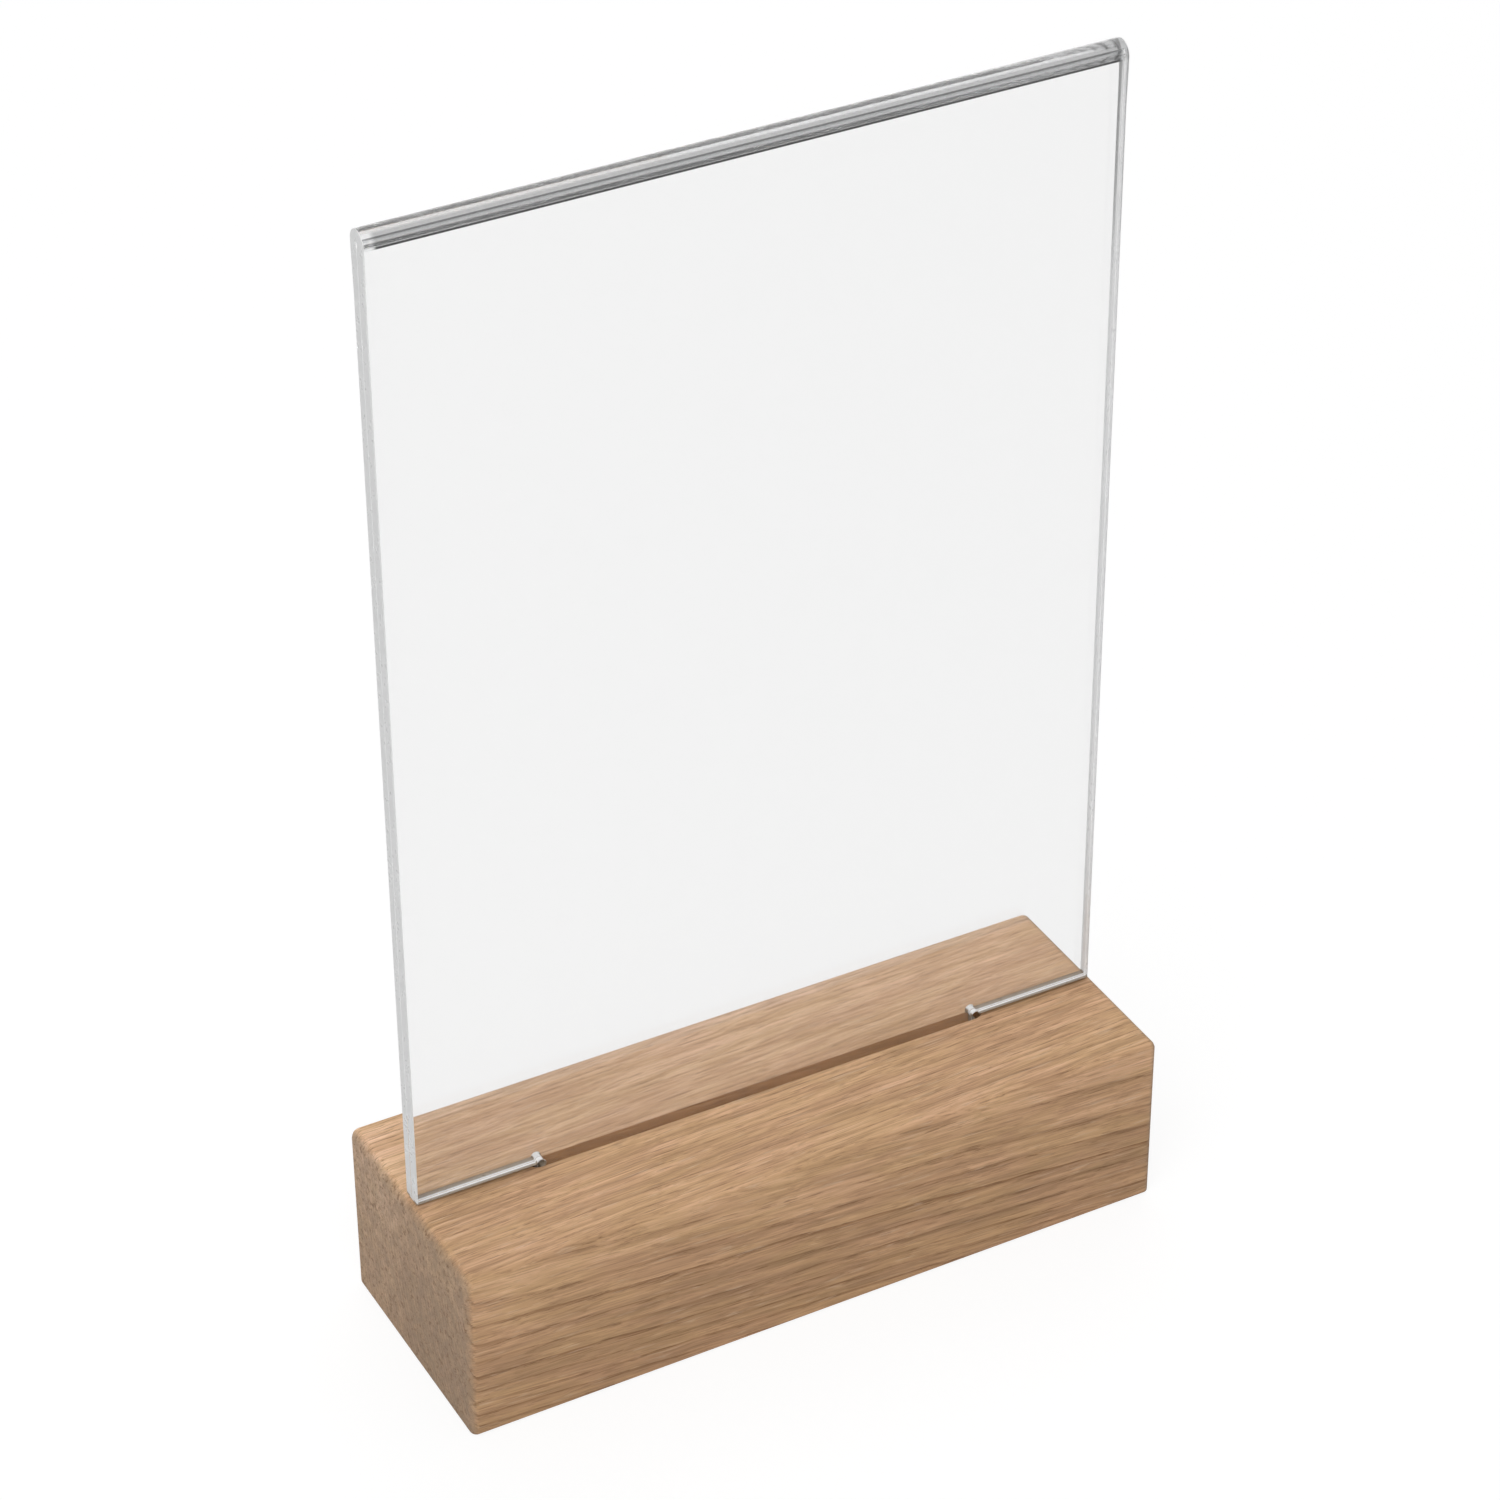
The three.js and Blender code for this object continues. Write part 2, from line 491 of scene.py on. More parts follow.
def blend_colour(tree, factor, first, second, mode="MIX"):
    node = put(tree, "Mix", {"data_type": "RGBA", "blend_type": mode})
    for socket, value in ((node.inputs[0], factor), (node.inputs[6], first), (node.inputs[7], second)):
        feed(tree, socket, value)
    return node.outputs[2]


print("node helpers are ready")


# %% Helpers that start a group or a material
def new_group(name, inputs, outputs):
    group = bpy.data.node_groups.new(name, "ShaderNodeTree")
    for title, kind, value in inputs:
        socket = group.interface.new_socket(title, in_out="INPUT", socket_type="NodeSocket" + kind)
        if kind == "Float":
            socket.default_value = value
    for title in outputs:
        group.interface.new_socket(title, in_out="OUTPUT", socket_type="NodeSocketFloat")
    return group, group.nodes.new("NodeGroupInput").outputs, group.nodes.new("NodeGroupOutput").inputs


def new_material(name):
    material = bpy.data.materials.new(name)
    material.use_nodes = True
    tree = material.node_tree
    return material, tree, tree.nodes["Principled BSDF"]


print("groups and materials can be started")


# %% [markdown]
# ## A group for streaks that run along the grain
# Fibres, pores and flecks are all the same idea: something long along the grain and narrow across it.
# One group stretches a noise along the block's length and cuts it between two levels, and it is placed
# several times, with its own length, width and levels. Because the noise is solid, the same streaks that
# run along the faces come out as dots on the end grain, as they do in real wood.

# %% Build the streak group
streaks, take, give = new_group(
    "long_streaks",
    [
        ("Vector", "Vector", None),
        ("Length", "Float", 20.0),
        ("Width", "Float", 0.5),
        ("Seed", "Float", 0.0),
        ("Low", "Float", 0.4),
        ("High", "Float", 0.6),
    ],
    ["Streak"],
)
per_length = reckon(streaks, "DIVIDE", 1.0, take["Length"])
per_width = reckon(streaks, "DIVIDE", 1.0, take["Width"])
stretch = put(streaks, "CombineXYZ", X=per_length, Y=per_width, Z=per_width).outputs[0]
shift = put(streaks, "CombineXYZ", X=take["Seed"], Y=take["Seed"], Z=take["Seed"]).outputs[0]
stretched = across(streaks, "ADD", across(streaks, "MULTIPLY", take["Vector"], stretch), shift)
grain_noise = put(streaks, "TexNoise", Vector=stretched, Scale=1.0, Detail=3.0, Roughness=0.6)
feed(streaks, give["Streak"], ramp(streaks, grain_noise.outputs[0], take["Low"], take["High"]))
print("group", streaks.name, "has", len(streaks.nodes), "nodes")


# %% A helper that places streaks
def place_streaks(tree, vector, length, width, seed, low, high):
    node = tree.nodes.new("ShaderNodeGroup")
    node.node_tree = streaks
    feed(tree, node.inputs["Vector"], vector)
    for name, value in (("Length", length), ("Width", width), ("Seed", seed), ("Low", low), ("High", high)):
        node.inputs[name].default_value = value
    return node.outputs["Streak"]


print("streaks can be placed")


# %% [markdown]
# ## Growth rings
# A board is a piece of a tree, so its rings are circles round a pith that lies outside the board.
# Here the pith is in front of the block and just above it, so the rings stand nearly upright in the top,
# where they make fine close lines, and lean over in the front, where their lines lie closer towards the foot.
# Each ring starts abruptly with open, darker spring wood and fades into dense, paler summer wood.

# %% Build the ring group
PITH = (0.0, -78.0, 34.0)
ACROSS_GRAIN = (0.0, 1.0, 1.0)
WAVE_RATE = (0.017, 0.1, 0.1)
SPRING_RISE = (0.0, 0.06)
SPRING_FADE = (0.06, 0.36, 1.0, 0.0)
LATE_FADE = (0.1, 0.95, 0.22, 0.0)

rings, take, give = new_group(
    "growth_rings",
    [("Vector", "Vector", None), ("Spacing", "Float", 1.0), ("Waviness", "Float", 1.0)],
    ["Spring Wood", "Year"],
)
long_wave = across(rings, "MULTIPLY", take["Vector"], WAVE_RATE)
wave = put(rings, "TexNoise", Vector=long_wave, Scale=1.0, Detail=4.0, Roughness=0.65).outputs[0]
sway = reckon(rings, "MULTIPLY", reckon(rings, "SUBTRACT", wave, 0.5), take["Waviness"])
from_pith = across(rings, "MULTIPLY", across(rings, "SUBTRACT", take["Vector"], PITH), ACROSS_GRAIN)
distance = reckon(rings, "ADD", across(rings, "LENGTH", from_pith), sway)
count = reckon(rings, "DIVIDE", distance, take["Spacing"])
season = reckon(rings, "FRACT", count)
fade = reckon(rings, "MAXIMUM", ramp(rings, season, *SPRING_FADE), ramp(rings, season, *LATE_FADE))
spring = reckon(rings, "MULTIPLY", ramp(rings, season, *SPRING_RISE), fade)
year = put(rings, "TexWhiteNoise", {"noise_dimensions": "1D"}, W=reckon(rings, "FLOOR", count)).outputs[0]
feed(rings, give["Spring Wood"], spring)
feed(rings, give["Year"], year)
print("group", rings.name, "has its pith at", PITH, "mm")


# %% [markdown]
# ## The oak finish
# The oak is pale, sanded and left without a gloss. Its colour is a mix of the ring's spring and summer wood,
# fine fibres, dark open pores that crowd in the spring wood, and pale flecks where rays meet the surface.
# The fibres don't run quite along the block: they drift back and down to the right and wobble a little on
# their way, so the fine patterns are read in a space that is sheared and shaken by that much, and the rings
# in one that is sheared less. The wood is painted lighter towards its top and back, as painted light from
# above and behind. The ends are greyer and darker, with a speckle of open pores, and the walls of the slot
# are painted darker, as painted shade in the recess.
# The patterns are read in millimetres.

# %% Oak patterns
RING_DRIFT = (0.0, -0.012, 0.05)
FIBRE_DRIFT = (0.0, -0.045, 0.055)
FIBRE_WOBBLE = (0.0, 1.0, 1.0)
WOBBLE_RATE = (0.06, 0.2, 0.2)
MIDDLE_GREY = (0.5, 0.5, 0.5)
# Length and width, seed, and the two levels between which the noise is cut
STREAKS = {
    "fibres": (30.0, 0.25, 3.0, 0.25, 0.75),
    "bands": (70.0, 1.6, 11.0, 0.3, 0.7),
    "pores": (8.0, 0.22, 23.0, 0.53, 0.62),
    "flecks": (9.0, 0.45, 41.0, 0.58, 0.7),
    "warmth": (16.0, 4.0, 57.0, 0.35, 0.65),
    "mottle": (18.0, 1.1, 103.0, 0.3, 0.7),
    "breaks": (36.0, 0.9, 31.0, 0.3, 0.56),
    "end_dots": (40.0, 0.65, 71.0, 0.54, 0.66),
    "end_mottle": (60.0, 2.6, 87.0, 0.3, 0.7),
}

oak, tree, oak_shader = new_material("sanded_oak")
in_mm = scaled(tree, put(tree, "TexCoord").outputs["Object"], 1.0 / MM)
axes = put(tree, "SeparateXYZ", Vector=in_mm).outputs


def sheared(drift):
    return across(tree, "ADD", in_mm, scaled(tree, drift, axes["X"]))


shake_at = across(tree, "MULTIPLY", in_mm, WOBBLE_RATE)
shake = put(tree, "TexNoise", Vector=shake_at, Scale=1.0, Detail=2.0).outputs["Color"]
centred = across(tree, "SUBTRACT", shake, MIDDLE_GREY)
along = across(tree, "ADD", sheared(FIBRE_DRIFT), across(tree, "MULTIPLY", centred, FIBRE_WOBBLE))
ring_node = tree.nodes.new("ShaderNodeGroup")
ring_node.node_tree = rings
feed(tree, ring_node.inputs["Vector"], sheared(RING_DRIFT))
streak = {name: place_streaks(tree, along, *values) for name, values in STREAKS.items()}
print("oak reads", len([n for n in tree.nodes if n.type == "GROUP"]), "groups")

# %% Oak colour from the rings
YELLOW_OAK = (0.562, 0.346, 0.182, 1.0)
ROSY_OAK = (0.562, 0.336, 0.19, 1.0)
SPRING_OAK = (0.325, 0.175, 0.085, 1.0)
YEAR_SHARES = (0.0, 1.0, 0.6, 1.0)
BREAK_SHARES = (0.0, 1.0, 0.4, 1.0)
FAINTER_UP = (14.0, 25.0, 1.05, 0.5)

years = ramp(tree, ring_node.outputs["Year"], *YEAR_SHARES)
unbroken = ramp(tree, streak["breaks"], *BREAK_SHARES)
fainter = ramp(tree, axes["Z"], *FAINTER_UP)
spring_share = product(tree, ring_node.outputs["Spring Wood"], years, unbroken, fainter)
summer = blend_colour(tree, streak["warmth"], YELLOW_OAK, ROSY_OAK)
ringed = blend_colour(tree, spring_share, summer, SPRING_OAK)
print("rings bring the oak to", len(tree.nodes), "nodes")

# %% Oak tones, flecks and pores
PORE_BROWN = (0.19, 0.098, 0.047, 1.0)
FLECK_OAK = (0.7, 0.52, 0.37, 1.0)
FIBRE_TONES = (0.0, 1.0, 0.9, 1.08)
BAND_TONES = (0.0, 1.0, 0.9, 1.08)
MOTTLE_TONES = (0.0, 1.0, 0.89, 1.09)
# The next two ramps paint light: the oak is painted lighter towards its top and its back, where more light
# falls.
PAINTED_LIGHT_UP = (12.0, 23.0, 0.935, 1.13)
PAINTED_LIGHT_BACK = (-3.0, 9.0, 0.97, 1.28)
LESS_COLOUR = (0.95, 1.7, 1.0, 0.86)
FLECK_SHARE = 0.35
PORE_SHARES = (0.0, 0.4, 0.28, 0.62)

fine_tone = product(
    tree,
    ramp(tree, streak["fibres"], *FIBRE_TONES),
    ramp(tree, streak["bands"], *BAND_TONES),
    ramp(tree, streak["mottle"], *MOTTLE_TONES),
)
# Painted light: the broad tone makes the top and back of the oak lighter.
painted_broad_light = product(tree, ramp(tree, axes["Z"], *PAINTED_LIGHT_UP), ramp(tree, axes["Y"], *PAINTED_LIGHT_BACK))
tone = product(tree, fine_tone, painted_broad_light)
bleached = ramp(tree, tone, *LESS_COLOUR)
toned = put(tree, "HueSaturation", Saturation=bleached, Value=tone, Color=ringed).outputs[0]
flecked = blend_colour(tree, product(tree, streak["flecks"], FLECK_SHARE), toned, FLECK_OAK)
pore_share = product(tree, streak["pores"], ramp(tree, spring_share, *PORE_SHARES))
pored = blend_colour(tree, pore_share, flecked, PORE_BROWN)
print("long grain comes from", len(tree.nodes), "nodes")

# %% Oak end grain
END_OAK = (0.325, 0.25, 0.186, 1.0)
END_FROM_MIDDLE = (53.9, 54.9)
END_TONES = (0.0, 1.0, 0.86, 1.14)
END_SHARE = 0.55
DOT_SHARE = 0.65

to_end = ramp(tree, reckon(tree, "ABSOLUTE", axes["X"]), *END_FROM_MIDDLE)
end_mottle = ramp(tree, streak["end_mottle"], *END_TONES)
mottled = put(tree, "HueSaturation", Value=end_mottle, Color=pored).outputs[0]
end_tone = blend_colour(tree, END_SHARE, mottled, END_OAK)
speckled = blend_colour(tree, product(tree, streak["end_dots"], DOT_SHARE), end_tone, PORE_BROWN)
grained = blend_colour(tree, to_end, pored, speckled)
print("end grain brings the oak to", len(tree.nodes), "nodes")

# %% Oak painted with shade in the slot
# The slot's walls are multiplied darker: painted shade in the recess.
SLOT_PAINTED_SHADE = (0.78, 0.6, 0.38, 1.0)
SLOT_ACROSS = (bit_radius / MM, bit_radius / MM + 0.02, 1.0, 0.0)
SLOT_ALONG = (tab_half / MM + 1.0, tab_half / MM + 2.0, 1.0, 0.0)
BELOW_RIM = (block_high.z / MM - 0.1, block_high.z / MM - 0.02, 1.0, 0.0)
ABOVE_FLOOR = (SLOT_FLOOR / MM - 1.0, SLOT_FLOOR / MM - 0.5)

# This mask marks where the painted shade in the slot goes.
slot_shade_mask = product(
    tree,
    ramp(tree, reckon(tree, "ABSOLUTE", axes["Y"]), *SLOT_ACROSS),
    ramp(tree, reckon(tree, "ABSOLUTE", axes["X"]), *SLOT_ALONG),
    ramp(tree, axes["Z"], *BELOW_RIM),
    ramp(tree, axes["Z"], *ABOVE_FLOOR),
)
feed(tree, oak_shader.inputs["Base Color"], blend_colour(tree, slot_shade_mask, grained, SLOT_PAINTED_SHADE, "MULTIPLY"))
print("oak colour comes from", len(tree.nodes), "nodes")

# %% Oak roughness and relief
OAK_SPECULAR = 0.25
OAK_ROUGHNESS = (0.0, 1.0, 0.78, 0.6)
FIBRE_HEIGHT = 0.15
RELIEF_STRENGTH = 0.4
RELIEF_DEPTH = 0.08 * MM

oak_shader.inputs["Specular IOR Level"].default_value = OAK_SPECULAR
feed(tree, oak_shader.inputs["Roughness"], ramp(tree, streak["fibres"], *OAK_ROUGHNESS))
height = reckon(tree, "SUBTRACT", product(tree, streak["fibres"], FIBRE_HEIGHT), pore_share)
relief_bump = put(tree, "Bump", Height=height, Strength=RELIEF_STRENGTH, Distance=RELIEF_DEPTH)
feed(tree, oak_shader.inputs["Normal"], relief_bump.outputs["Normal"])
oak_block.data.materials.append(oak)
print("oak has", len(tree.nodes), "nodes")


# %% [markdown]
# ## Clear acrylic
# Acrylic bends light by an index of 1.49 and takes a little of it, so a leaf is not quite white on white.
# A path tracer finds it hard to carry lamp light through clear sheets, so rays on their way to a lamp are
# let through by a Transparent shader: the block behind the leaves is then lit without noise.
# The faces are polished, with a roughness that wanders a little, as a wiped sheet's does. Across the bend
# the colour is painted darker, as painted shade for the darker surroundings that the bend shows, darkest in a
# painted line at which the bend begins, and darker in front than behind. At the last millimetre of each end
# the painted shade is paler.

# %% Lamp light through acrylic
ACRYLIC_IOR = 1.49


def let_lamps_through(tree, shader, tint):
    path = put(tree, "LightPath").outputs["Is Shadow Ray"]
    clear = put(tree, "BsdfTransparent", Color=tint)
    mix = tree.nodes.new("ShaderNodeMixShader")
    tree.links.new(path, mix.inputs[0])
    tree.links.new(shader.outputs[0], mix.inputs[1])
    tree.links.new(clear.outputs[0], mix.inputs[2])
    tree.links.new(mix.outputs[0], tree.nodes["Material Output"].inputs["Surface"])


print("acrylic has an index of", ACRYLIC_IOR)

# %% Acrylic faces
CLARITY = 0.985
LEAF_TINT = (0.944, 0.944, 0.944, 1.0)
LEAF_LAMP_TINT = (0.985, 0.985, 0.985, 1.0)
WIPE_SCALE = 35.0
WIPE_ROUGHNESS = (0.35, 0.75, 0.0, 0.008)

polished, tree, leaf_shader = new_material("polished_acrylic")
leaf_shader.inputs["IOR"].default_value = ACRYLIC_IOR
leaf_shader.inputs["Transmission Weight"].default_value = CLARITY
place = put(tree, "TexCoord").outputs["Object"]
wiped = put(tree, "TexNoise", Vector=place, Scale=WIPE_SCALE, Detail=4.0, Roughness=0.6)
feed(tree, leaf_shader.inputs["Roughness"], ramp(tree, wiped.outputs[0], *WIPE_ROUGHNESS))
let_lamps_through(tree, leaf_shader, LEAF_LAMP_TINT)
print("polished acrylic has a transmission weight of", CLARITY)

# %% Painted shade in the bend
# These colours are painted shade in the bend, with a painted dark line where the bend begins.
CROWN_PAINTED_SHADE = (0.66, 0.665, 0.67, 1.0)
BEND_PAINTED_SHADE = (0.27, 0.273, 0.276, 1.0)
BACK_PAINTED_LINE = (0.22, 0.223, 0.226, 1.0)
FRONT_PAINTED_LINE = (0.001, 0.001, 0.001, 1.0)
END_PAINTED_SHADE = (0.74, 0.745, 0.75, 1.0)
LINE_LOW = fold_centre / MM - 0.25
LINE_HIGH = fold_centre / MM + 0.1
BEND_BEGUN = (LINE_LOW - 0.05, LINE_LOW + 0.05)
LINE_PASSED = (LINE_HIGH - 0.1, LINE_HIGH + 0.1)
BEND_PASSED = (LINE_HIGH + 0.5, LINE_HIGH + 1.5)
FRONT_PASSED = (-1.2, -0.6)
FRONT_TO_BACK = (-0.1, 0.1)
OUTSIDE = (LEAF / MM * 0.5, LEAF / MM * 0.7)
PALE_END = (sleeve_side / MM - 1.8, sleeve_side / MM - 1.0)

in_mm = scaled(tree, place, 1.0 / MM)
axes = put(tree, "SeparateXYZ", Vector=in_mm).outputs
begun = ramp(tree, axes["Z"], *BEND_BEGUN)
bent = ramp(tree, axes["Z"], *LINE_PASSED)
past_front = ramp(tree, axes["Y"], *FRONT_PASSED)
over = reckon(tree, "MINIMUM", ramp(tree, axes["Z"], *BEND_PASSED), past_front)
outside_face = ramp(tree, reckon(tree, "ABSOLUTE", axes["Y"]), *OUTSIDE)
line = blend_colour(tree, ramp(tree, axes["Y"], *FRONT_TO_BACK), FRONT_PAINTED_LINE, BACK_PAINTED_LINE)
# Painted shade over the bend, darker on the outside faces and darker in front than behind.
outside_painted_shade = blend_colour(tree, bent, line, blend_colour(tree, over, BEND_PAINTED_SHADE, CROWN_PAINTED_SHADE))
inside_painted_shade = blend_colour(tree, bent, LEAF_TINT, CROWN_PAINTED_SHADE)
painted_shade = blend_colour(tree, outside_face, inside_painted_shade, outside_painted_shade)
at_end = ramp(tree, reckon(tree, "ABSOLUTE", axes["X"]), *PALE_END)
bend_painted_shade = blend_colour(tree, at_end, painted_shade, END_PAINTED_SHADE)
feed(tree, leaf_shader.inputs["Base Color"], blend_colour(tree, begun, LEAF_TINT, bend_painted_shade))
print("smoke begins at", round(LINE_LOW, 2), "mm")


# %% [markdown]
# ## Cut edges of the acrylic
# A sawn edge is frosted: it scatters most of the light, so from outside it is a pale line. Seen from inside
# the sheet, where the pane's far edges are seen, it is painted paler, as painted light, but for bands along
# the arrises, which are painted darker, most of all close to the fold, as painted shade. The shoulders and
# the tab are painted brown along their arrises, as painted shade with the oak's brown mirrored in it. Little
# lamp light gets through an edge, so the edges shade the oak below.

# %% Acrylic cut edges
EDGE_CLARITY = 0.08
EDGE_OUTSIDE = (0.77, 0.775, 0.775, 1.0)
# The inside colour is painted light: seen from inside the sheet, the edge is painted paler than from outside.
EDGE_INSIDE_PAINTED_LIGHT = (0.97, 0.975, 0.98, 1.0)
# The next two colours are painted shade in bands along the arrises, darkest close to the fold.
ARRIS_PAINTED_SHADE = (0.92, 0.925, 0.93, 1.0)
FOLD_PAINTED_SHADE = (0.4, 0.403, 0.406, 1.0)
# The foot colour is painted shade with the oak's brown mirrored in it.
FOOT_PAINTED_SHADE = (0.31, 0.25, 0.185, 1.0)
EDGE_LAMP_TINT = (0.12, 0.12, 0.12, 1.0)
FOLD_SHADE_REACH = (fold_centre - 40.0 * MM, fold_centre - 10.0 * MM)
FOOT_REACH = (shoulder_z + 0.2 * MM, shoulder_z + 0.4 * MM, 1.0, 0.0)
FOOT_SHADE_BAND = (0.4 * MM, 0.8 * MM)
ARRIS_BAND = (outer_leaf - 0.9 * MM, outer_leaf - 0.6 * MM)
SCRAPE_SCALE = 900.0
SCRAPE_ROUGHNESS = (0.3, 0.7, 0.25, 0.45)

cut_edge, tree, edge_shader = new_material("cut_acrylic_edge")
edge_shader.inputs["IOR"].default_value = ACRYLIC_IOR
edge_shader.inputs["Transmission Weight"].default_value = EDGE_CLARITY
place = put(tree, "TexCoord").outputs["Object"]
axes = put(tree, "SeparateXYZ", Vector=place).outputs
from_middle = reckon(tree, "ABSOLUTE", axes["Y"])
# Painted shade along the arrises, darker towards the fold.
arris_painted_shade = blend_colour(tree, ramp(tree, axes["Z"], *FOLD_SHADE_REACH), ARRIS_PAINTED_SHADE, FOLD_PAINTED_SHADE)
inside_painted_light = blend_colour(tree, ramp(tree, from_middle, *ARRIS_BAND), EDGE_INSIDE_PAINTED_LIGHT, arris_painted_shade)
from_inside = put(tree, "NewGeometry").outputs["Backfacing"]
# Painted light: the colour is picked by the side from which the edge is seen.
frosted_and_painted_light = blend_colour(tree, from_inside, EDGE_OUTSIDE, inside_painted_light)
# Painted shade and painted reflection of the oak along the arrises of the feet.
foot_painted_shade = product(tree, ramp(tree, axes["Z"], *FOOT_REACH), ramp(tree, from_middle, *FOOT_SHADE_BAND))
feed(tree, edge_shader.inputs["Base Color"], blend_colour(tree, foot_painted_shade, frosted_and_painted_light, FOOT_PAINTED_SHADE))
scraped = put(tree, "TexNoise", Vector=place, Scale=SCRAPE_SCALE, Detail=3.0, Roughness=0.6)
feed(tree, edge_shader.inputs["Roughness"], ramp(tree, scraped.outputs[0], *SCRAPE_ROUGHNESS))
let_lamps_through(tree, edge_shader, EDGE_LAMP_TINT)
acrylic_sleeve.data.materials.append(polished)
acrylic_sleeve.data.materials.append(cut_edge)
cut_faces = len([p for p in acrylic_sleeve.data.polygons if p.material_index == EDGE_SLOT])
print("sleeve materials", [m.name for m in acrylic_sleeve.data.materials], "with", cut_faces, "cut faces")


# %% [markdown]
# ## What moves with what
# The block stands still and the sleeve lifts out of its slot, so each rides on its own body of the packed
# model and stands for that body's solid, which stays in the simulation unseen.

# %% Ride on the bodies
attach(oak_block, "base")
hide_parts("oak_block")
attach(acrylic_sleeve, "sleeve")
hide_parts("acrylic_sleeve")


# %% [markdown]
# ## Floor
# The holder stands in the middle of a plain white sweep, a floor that curves up all round, so that no horizon
# shows. Its profile is drawn from the middle outwards and spun once round. The sweep is an honest pale
# surface for the light that bounces about, and for rays from the camera and through or off the acrylic it
# glows up to white, while a part of it still answers to the lamps, so that the block keeps its soft shadow.

# %% Shape of the sweep
FLOOR_RADIUS = 3.0
SWEEP_RADIUS = 1.1
SWEEP_STEPS = 12
ROUND_STEPS = 96
FLOOR_DROP = 0.05 * MM

sweep = bmesh.new()
profile = [sweep.verts.new((0, 0, -FLOOR_DROP))]
for step in range(SWEEP_STEPS + 1):
    turn = math.pi / 2 * step / SWEEP_STEPS
    reach, rise = FLOOR_RADIUS + SWEEP_RADIUS * math.sin(turn), SWEEP_RADIUS * (1 - math.cos(turn))
    profile.append(sweep.verts.new((reach, 0, rise - FLOOR_DROP)))
chain = [sweep.edges.new(pair) for pair in zip(profile, profile[1:])]
bmesh.ops.spin(
    sweep,
    geom=profile + chain,
    cent=(0, 0, 0),
    axis=(0, 0, 1),
    angle=2 * math.pi,
    steps=ROUND_STEPS,
    use_merge=True,
)
bmesh.ops.remove_doubles(sweep, verts=sweep.verts, dist=NEAR)
bmesh.ops.recalc_face_normals(sweep, faces=sweep.faces)
floor = finish_piece(sweep, "floor")
print("sweep", 2 * (FLOOR_RADIUS + SWEEP_RADIUS), "m across,", len(floor.data.polygons), "faces")

# %% White of the sweep
FLOOR_GLOW = 0.84
FLOOR_SHADE = (0.2, 0.2, 0.2, 1.0)
FLOOR_PALE = (0.8, 0.8, 0.8, 1.0)
WHITE = (1.0, 1.0, 1.0, 1.0)

white, tree, spare_shader = new_material("white_floor")
tree.nodes.remove(spare_shader)
rays = put(tree, "LightPath").outputs
by_acrylic = reckon(tree, "MAXIMUM", rays["Is Glossy Ray"], rays["Is Transmission Ray"])
seen = reckon(tree, "MAXIMUM", rays["Is Camera Ray"], by_acrylic)
pale = put(tree, "BsdfDiffuse", Color=FLOOR_PALE)
shade = put(tree, "BsdfDiffuse", Color=FLOOR_SHADE)
glow = put(tree, "Emission", Color=WHITE, Strength=FLOOR_GLOW)
lit = tree.nodes.new("ShaderNodeAddShader")
tree.links.new(shade.outputs[0], lit.inputs[0])
tree.links.new(glow.outputs[0], lit.inputs[1])
choice = tree.nodes.new("ShaderNodeMixShader")
tree.links.new(seen, choice.inputs[0])
tree.links.new(pale.outputs[0], choice.inputs[1])
tree.links.new(lit.outputs[0], choice.inputs[2])
tree.links.new(choice.outputs[0], tree.nodes["Material Output"].inputs["Surface"])
floor.data.materials.append(white)
print("sweep glows with", FLOOR_GLOW, "where it is seen")


# %% [markdown]
# ## Light
# A large soft box hangs above, a little to the left and in front, and a broader, weaker one stands behind on
# the right. Rays that come through the acrylic don't meet the boxes, so no lamp stands in the pane.
# The room above the sweep gives a still weaker light from all round, darker lower down, so that what the
# acrylic mirrors isn't all white.
# Light is led along inside a clear sheet by many reflections, so paths may bounce far more often than usual.

# %% Soft boxes
# Direction, then distance and size in metres, then power in watts
SOFT_BOXES = {
    "soft_box_above": (Vector((-0.42, -0.52, 0.74)), 1.0, 0.8, 4.9),
    "soft_box_behind": (Vector((0.391, 0.728, 0.563)), 1.2, 1.2, 4.0),
}

for name, (direction, reach, size, watts) in SOFT_BOXES.items():
    lamp = bpy.data.lights.new(name, "AREA")
    lamp.shape = "SQUARE"
    lamp.size = size
    lamp.energy = watts
    soft_box = bpy.data.objects.new(name, lamp)
    bpy.context.scene.collection.objects.link(soft_box)
    soft_box.visible_transmission = False
    soft_box.location = direction.normalized() * reach
    soft_box.rotation_euler = direction.to_track_quat("Z", "Y").to_euler()
    print(name, watts, "W at", [round(v, 3) for v in soft_box.location])

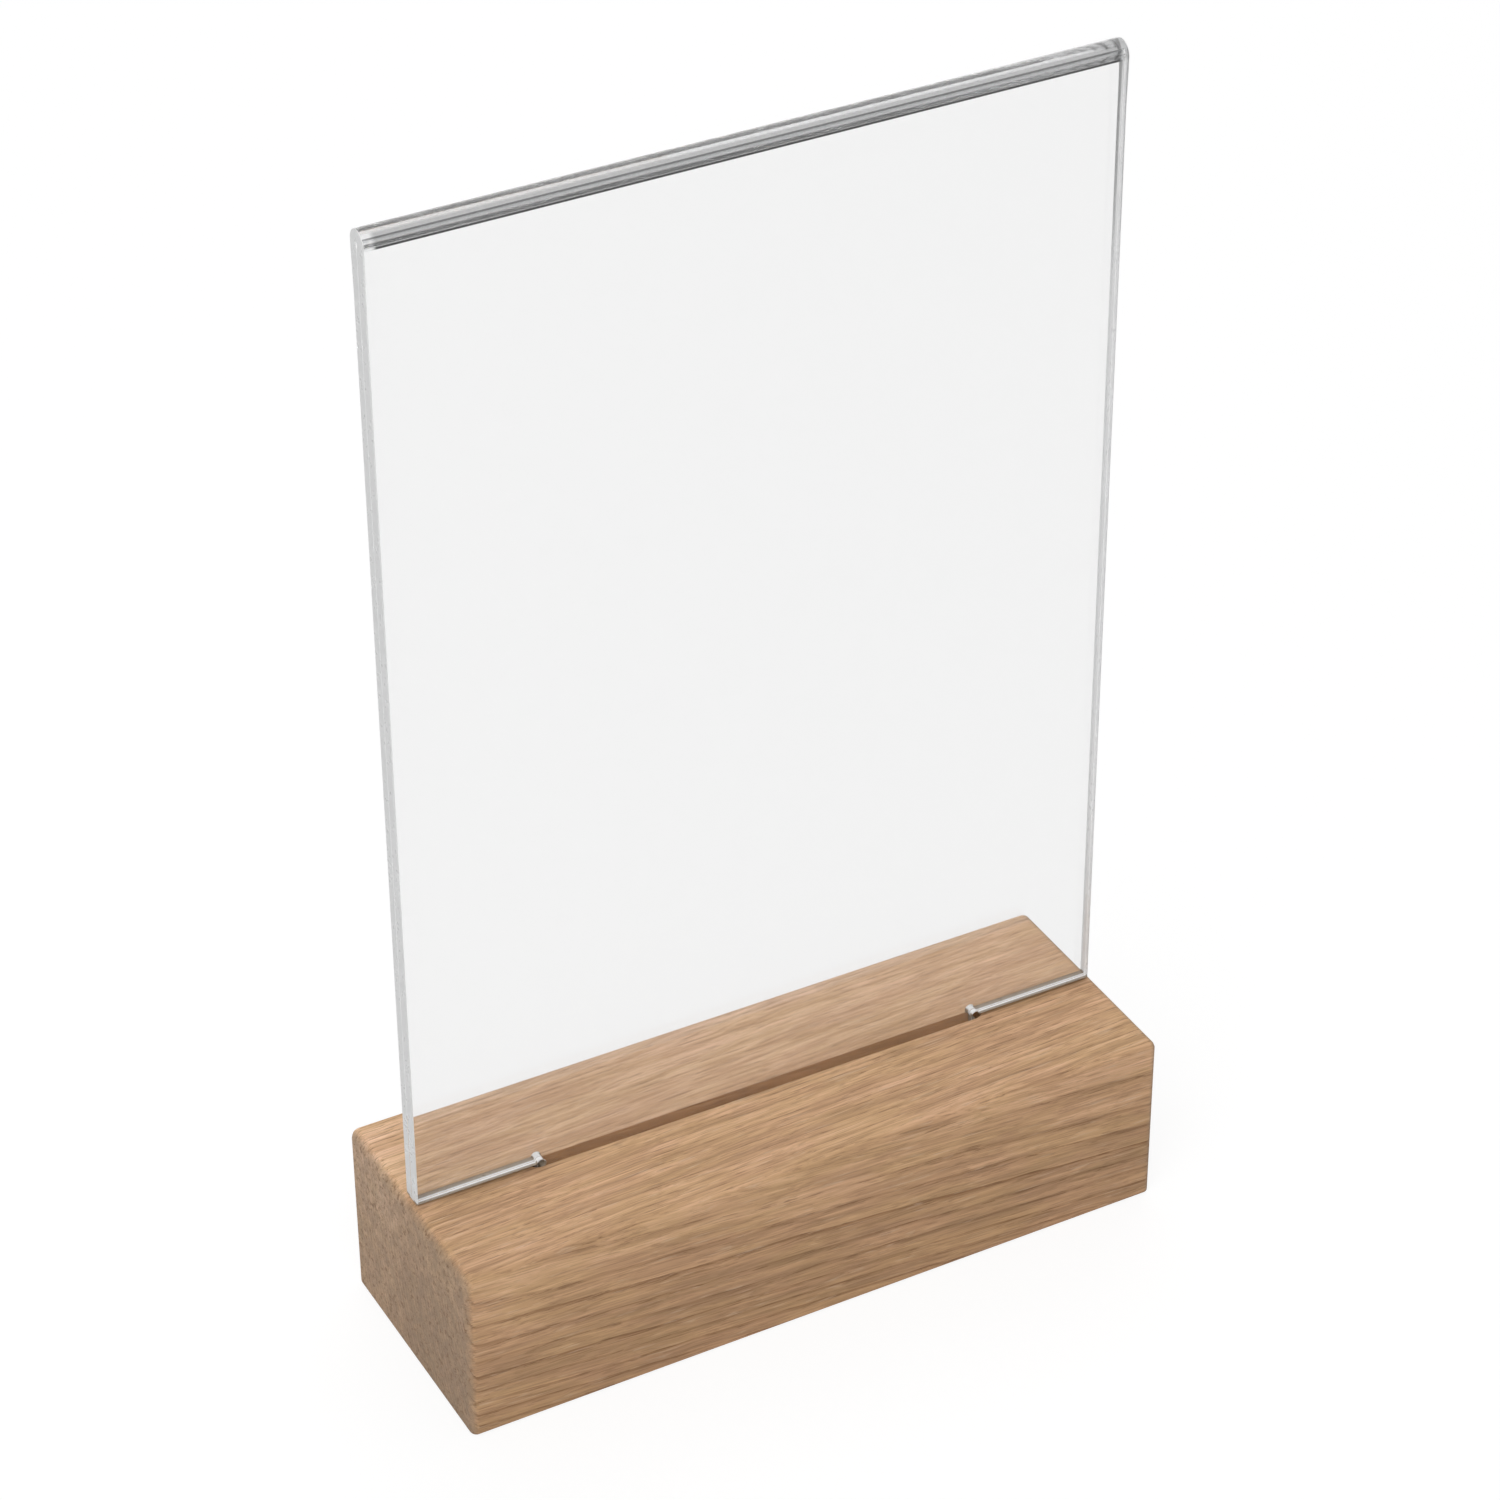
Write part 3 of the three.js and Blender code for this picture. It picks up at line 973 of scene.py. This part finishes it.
# %% Room and light paths
ROOM_LOW = (0.25, 0.25, 0.25, 1.0)
ROOM_HIGH = (0.5, 0.5, 0.5, 1.0)
ROOM_RISE = (0.0, 0.9)
GUIDED_BOUNCES = 80

room = bpy.data.worlds.new("room")
room.use_nodes = True
tree = room.node_tree
sky_axes = put(tree, "SeparateXYZ", Vector=put(tree, "TexCoord").outputs["Generated"]).outputs
upward = ramp(tree, sky_axes["Z"], *ROOM_RISE)
feed(tree, tree.nodes["Background"].inputs["Color"], blend_colour(tree, upward, ROOM_LOW, ROOM_HIGH))
bpy.context.scene.world = room
bpy.context.scene.view_settings.view_transform = "Standard"
light_paths = bpy.context.scene.cycles
light_paths.max_bounces = GUIDED_BOUNCES
light_paths.glossy_bounces = GUIDED_BOUNCES
light_paths.transmission_bounces = GUIDED_BOUNCES
print("room from", ROOM_LOW[0], "to", ROOM_HIGH[0])


# %% [markdown]
# ## Camera
# The camera looks down on the holder from the front left with a long lens, so the uprights stay nearly
# upright. The values were fitted to the block's corners and the sleeve's edges.

# %% Place the camera
VIEW_YAW = math.radians(28.231)
VIEW_PITCH = math.radians(34.302)
VIEW_ROLL = math.radians(-0.324)
VIEW_DISTANCE = 634.335 * MM
VIEW_TARGET = Vector((-0.879, 0.0, 85.661)) * MM
LENS = 112.785
SENSOR_WIDTH = 36.0
CLIP_START, CLIP_END = 0.01, 50.0

sideways, level = math.sin(VIEW_YAW), math.cos(VIEW_PITCH)
backward = Vector((-sideways * level, -math.cos(VIEW_YAW) * level, math.sin(VIEW_PITCH)))
eye = bpy.data.cameras.new("photo_view")
eye.lens = LENS
eye.sensor_width = SENSOR_WIDTH
eye.clip_start = CLIP_START
eye.clip_end = CLIP_END
camera = bpy.data.objects.new("photo_view", eye)
bpy.context.scene.collection.objects.link(camera)
stand = Matrix.Translation(VIEW_TARGET + backward * VIEW_DISTANCE)
aim = backward.to_track_quat("Z", "Y").to_matrix().to_4x4()
camera.matrix_world = stand @ aim @ Matrix.Rotation(VIEW_ROLL, 4, "Z")
bpy.context.scene.camera = camera
print("camera at", [round(v, 3) for v in camera.location])
